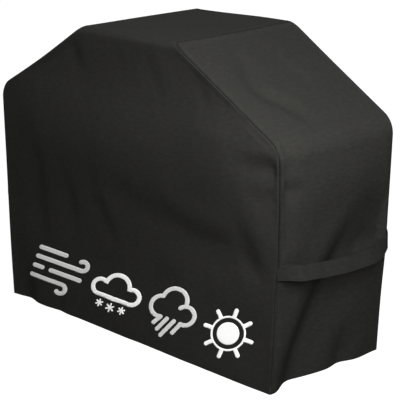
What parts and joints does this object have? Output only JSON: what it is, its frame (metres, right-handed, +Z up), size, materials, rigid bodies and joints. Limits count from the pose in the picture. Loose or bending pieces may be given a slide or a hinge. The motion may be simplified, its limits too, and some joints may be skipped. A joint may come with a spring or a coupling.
{
  "type": "grill cover",
  "caption": "Fitted fabric cover for a barbecue grill, with sloped shoulders, an open hem, a carrying strap at each end and printed weather symbols on the front.",
  "frame": {"origin": "on the ground at the middle of the hem", "axes": "+Z up, -Y the front with the printed symbols, +X to the right as seen from the front"},
  "size_m": [1.554, 0.6096, 1.17],
  "materials": {
    "cover_cloth": "matte charcoal-black woven polyester with a faint sheen",
    "strap_cloth": "matte charcoal-black woven polyester, folded and sewn flat",
    "binding_tape": "matte black woven tape",
    "thread": "black polyester sewing thread",
    "white_ink": "matte white screen print",
    "grey_ink": "matte light grey screen print"
  },
  "bodies": {
    "cover": {"body_panel": "cover_cloth", "right_end_panel": "cover_cloth", "left_end_panel": "cover_cloth", "right_seam_binding": "binding_tape", "left_seam_binding": "binding_tape", "right_seam_stitching": "thread", "left_seam_stitching": "thread", "front_hem_stitching": "thread", "back_hem_stitching": "thread", "right_hem_stitching": "thread", "left_hem_stitching": "thread", "right_handle_front_end": "strap_cloth", "right_handle_rear_end": "strap_cloth", "left_handle_front_end": "strap_cloth", "left_handle_rear_end": "strap_cloth", "wind_print": "grey_ink", "snow_cloud_print": "white_ink", "rain_cloud_print": "grey_ink", "sun_print": "white_ink"},
    "right_handle": {"right_handle_strap": "strap_cloth", "right_handle_stitching": "thread"},
    "left_handle": {"left_handle_strap": "strap_cloth", "left_handle_stitching": "thread"}
  },
  "joints": [
    {"name": "right_handle_lift", "type": "hinge", "parent": "cover", "child": "right_handle", "pos_m": [0.72554, 0, 0.452], "axis": [0, -1, 0], "range_deg": [0, 50], "deforming": ["right_handle_front_end", "right_handle_rear_end"]},
    {"name": "left_handle_lift", "type": "hinge", "parent": "cover", "child": "left_handle", "pos_m": [-0.72554, 0, 0.452], "axis": [0, 1, 0], "range_deg": [0, 50], "deforming": ["left_handle_front_end", "left_handle_rear_end"]}
  ]
}
